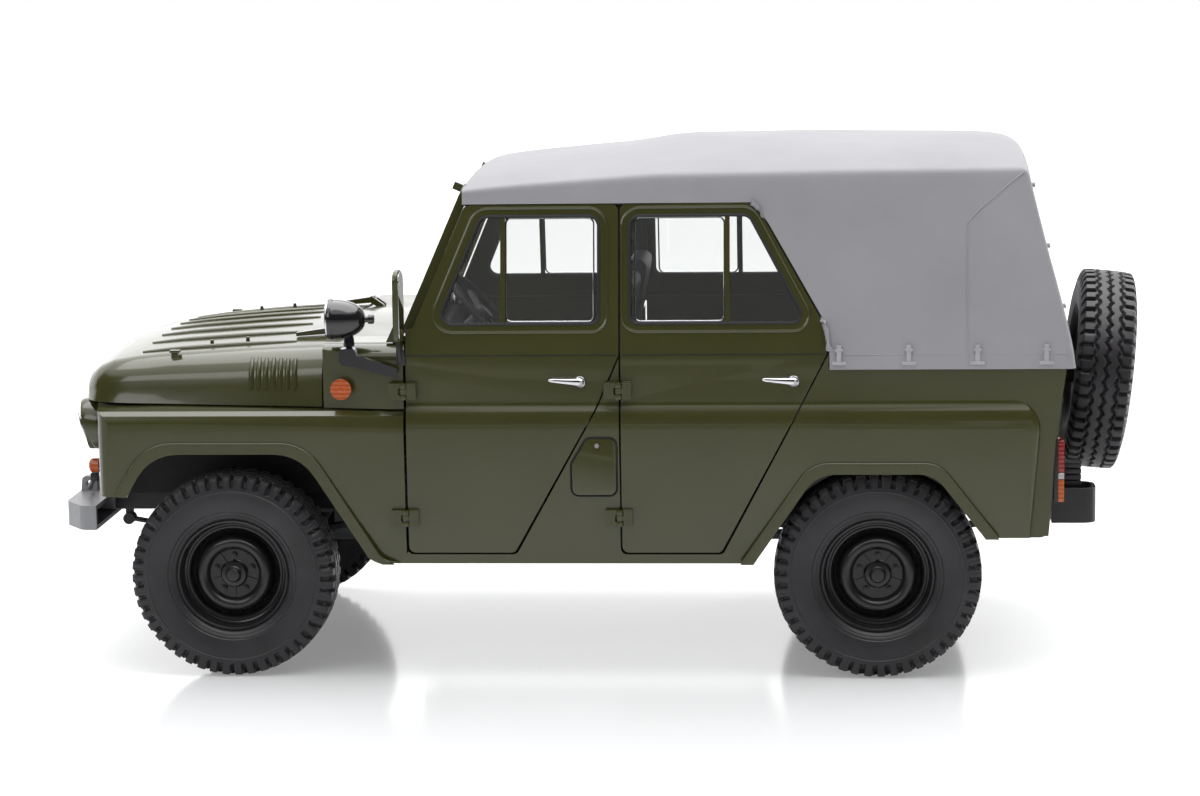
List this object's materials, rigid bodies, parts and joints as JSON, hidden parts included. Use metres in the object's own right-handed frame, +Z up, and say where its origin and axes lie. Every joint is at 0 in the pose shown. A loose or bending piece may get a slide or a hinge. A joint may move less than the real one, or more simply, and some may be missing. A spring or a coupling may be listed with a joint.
{
  "type": "scale model army 4x4 car",
  "caption": "Scale model of an army 4x4 car with opening doors and bonnet, steering, turning wheels, swing-out spare wheel and moulded canvas top.",
  "frame": {"origin": "on the ground under the middle of the model's box", "axes": "+X towards the rear, +Y towards the car's right side, +Z up"},
  "size_m": [0.5044, 0.226, 0.2436],
  "materials": {
    "green_paint": "gloss olive green enamel",
    "black_plastic": "satin black moulded plastic",
    "engine_grey": "satin grey plastic",
    "interior": "matt black moulded trim",
    "canvas": "matt grey moulded canvas",
    "glass": "clear pane",
    "chrome": "bright plated",
    "tyre": "satin moulded rubber",
    "orange_lens": "clear orange lens",
    "red_lens": "clear red and orange lens"
  },
  "bodies": {
    "body": {"chassis_frame": "black_plastic", "powertrain": "engine_grey", "front_axle": "black_plastic", "rear_axle": "black_plastic", "leaf_springs": "black_plastic", "fuel_tanks": "black_plastic", "front_bumper": "black_plastic", "rear_bumpers": "black_plastic", "tow_hitch": "black_plastic", "body_tub": "green_paint", "left_body_side": "green_paint", "right_body_side": "green_paint", "left_wing": "green_paint", "right_wing": "green_paint", "front_panel": "green_paint", "headlights": "chrome", "indicators": "orange_lens", "cowl": "green_paint", "dashboard": "interior", "windscreen_frame": "green_paint", "windscreen_glass": "glass", "soft_top": "canvas", "front_seats": "interior", "rear_bench": "interior", "steering_column": "interior", "mirrors": "green_paint", "tail_lamps": "red_lens", "door_hinges": "green_paint", "lamp_arm": "black_plastic", "rear_panel": "green_paint", "tailgate": "green_paint"},
    "bonnet": {"bonnet": "green_paint", "bonnet_straps": "green_paint"},
    "steering_wheel": {"steering_wheel": "interior"},
    "search_lamp": {"search_lamp": "black_plastic"},
    "spare_carrier": {"spare_carrier": "green_paint", "spare_rim": "black_plastic", "spare_tyre": "tyre"},
    "left_knuckle": {"left_knuckle": "black_plastic"},
    "right_knuckle": {"right_knuckle": "black_plastic"},
    "left_front_door": {"left_front_door": "green_paint", "left_front_door_glass": "glass", "left_front_door_handle": "chrome"},
    "left_front_wheel": {"left_front_rim": "black_plastic", "left_front_tyre": "tyre"},
    "left_rear_door": {"left_rear_door": "green_paint", "left_rear_door_glass": "glass", "left_rear_door_handle": "chrome"},
    "left_rear_wheel": {"left_rear_rim": "black_plastic", "left_rear_tyre": "tyre"},
    "right_front_door": {"right_front_door": "green_paint", "right_front_door_glass": "glass", "right_front_door_handle": "chrome"},
    "right_front_wheel": {"right_front_rim": "black_plastic", "right_front_tyre": "tyre"},
    "right_rear_door": {"right_rear_door": "green_paint", "right_rear_door_glass": "glass", "right_rear_door_handle": "chrome"},
    "right_rear_wheel": {"right_rear_rim": "black_plastic", "right_rear_tyre": "tyre"}
  },
  "joints": [
    {"name": "bonnet_hinge", "type": "hinge", "parent": "body", "child": "bonnet", "pos_m": [-0.1235, 0, 0.1569], "axis": [0, 1, 0], "range_deg": [0, 55]},
    {"name": "left_front_door_hinge", "type": "hinge", "parent": "body", "child": "left_front_door", "pos_m": [-0.0861, -0.1097, 0.104], "axis": [0, 0, -1], "range_deg": [0, 70]},
    {"name": "left_rear_door_hinge", "type": "hinge", "parent": "body", "child": "left_rear_door", "pos_m": [0.0119, -0.1097, 0.104], "axis": [0, 0, -1], "range_deg": [0, 70]},
    {"name": "right_front_door_hinge", "type": "hinge", "parent": "body", "child": "right_front_door", "pos_m": [-0.0861, 0.1097, 0.104], "axis": [0, 0, 1], "range_deg": [0, 70]},
    {"name": "right_rear_door_hinge", "type": "hinge", "parent": "body", "child": "right_rear_door", "pos_m": [0.0119, 0.1097, 0.104], "axis": [0, 0, 1], "range_deg": [0, 70]},
    {"name": "left_steering", "type": "hinge", "parent": "body", "child": "left_knuckle", "pos_m": [-0.1687, -0.078, 0.0475], "axis": [0, 0, 1], "range_deg": [-25, 25]},
    {"name": "right_steering", "type": "hinge", "parent": "body", "child": "right_knuckle", "pos_m": [-0.1687, 0.078, 0.0475], "axis": [0, 0, 1], "range_deg": [-25, 25]},
    {"name": "steering_wheel_turn", "type": "hinge", "parent": "body", "child": "steering_wheel", "pos_m": [-0.0547, -0.046, 0.163], "axis": [0.7431, 0, 0.6691], "range_deg": [-300, 300]},
    {"name": "left_front_wheel_spin", "type": "hinge", "parent": "left_knuckle", "child": "left_front_wheel", "pos_m": [-0.1687, -0.09, 0.0475], "axis": [0, 1, 0], "continuous": true},
    {"name": "left_rear_wheel_spin", "type": "hinge", "parent": "body", "child": "left_rear_wheel", "pos_m": [0.1288, -0.09, 0.0475], "axis": [0, 1, 0], "continuous": true},
    {"name": "right_front_wheel_spin", "type": "hinge", "parent": "right_knuckle", "child": "right_front_wheel", "pos_m": [-0.1687, 0.09, 0.0475], "axis": [0, 1, 0], "continuous": true},
    {"name": "right_rear_wheel_spin", "type": "hinge", "parent": "body", "child": "right_rear_wheel", "pos_m": [0.1288, 0.09, 0.0475], "axis": [0, 1, 0], "continuous": true},
    {"name": "search_lamp_swivel", "type": "hinge", "parent": "body", "child": "search_lamp", "pos_m": [-0.1112, -0.1035, 0.16], "axis": [0, 0, 1], "range_deg": [-40, 40]},
    {"name": "spare_carrier_hinge", "type": "hinge", "parent": "body", "child": "spare_carrier", "pos_m": [0.2167, 0.084, 0.1255], "axis": [0, 0, 1], "range_deg": [0, 100]}
  ],
  "couplings": [
    {"joint": "right_steering", "follows": "left_steering", "ratio": 1},
    {"joint": "steering_wheel_turn", "follows": "left_steering", "ratio": 12}
  ]
}
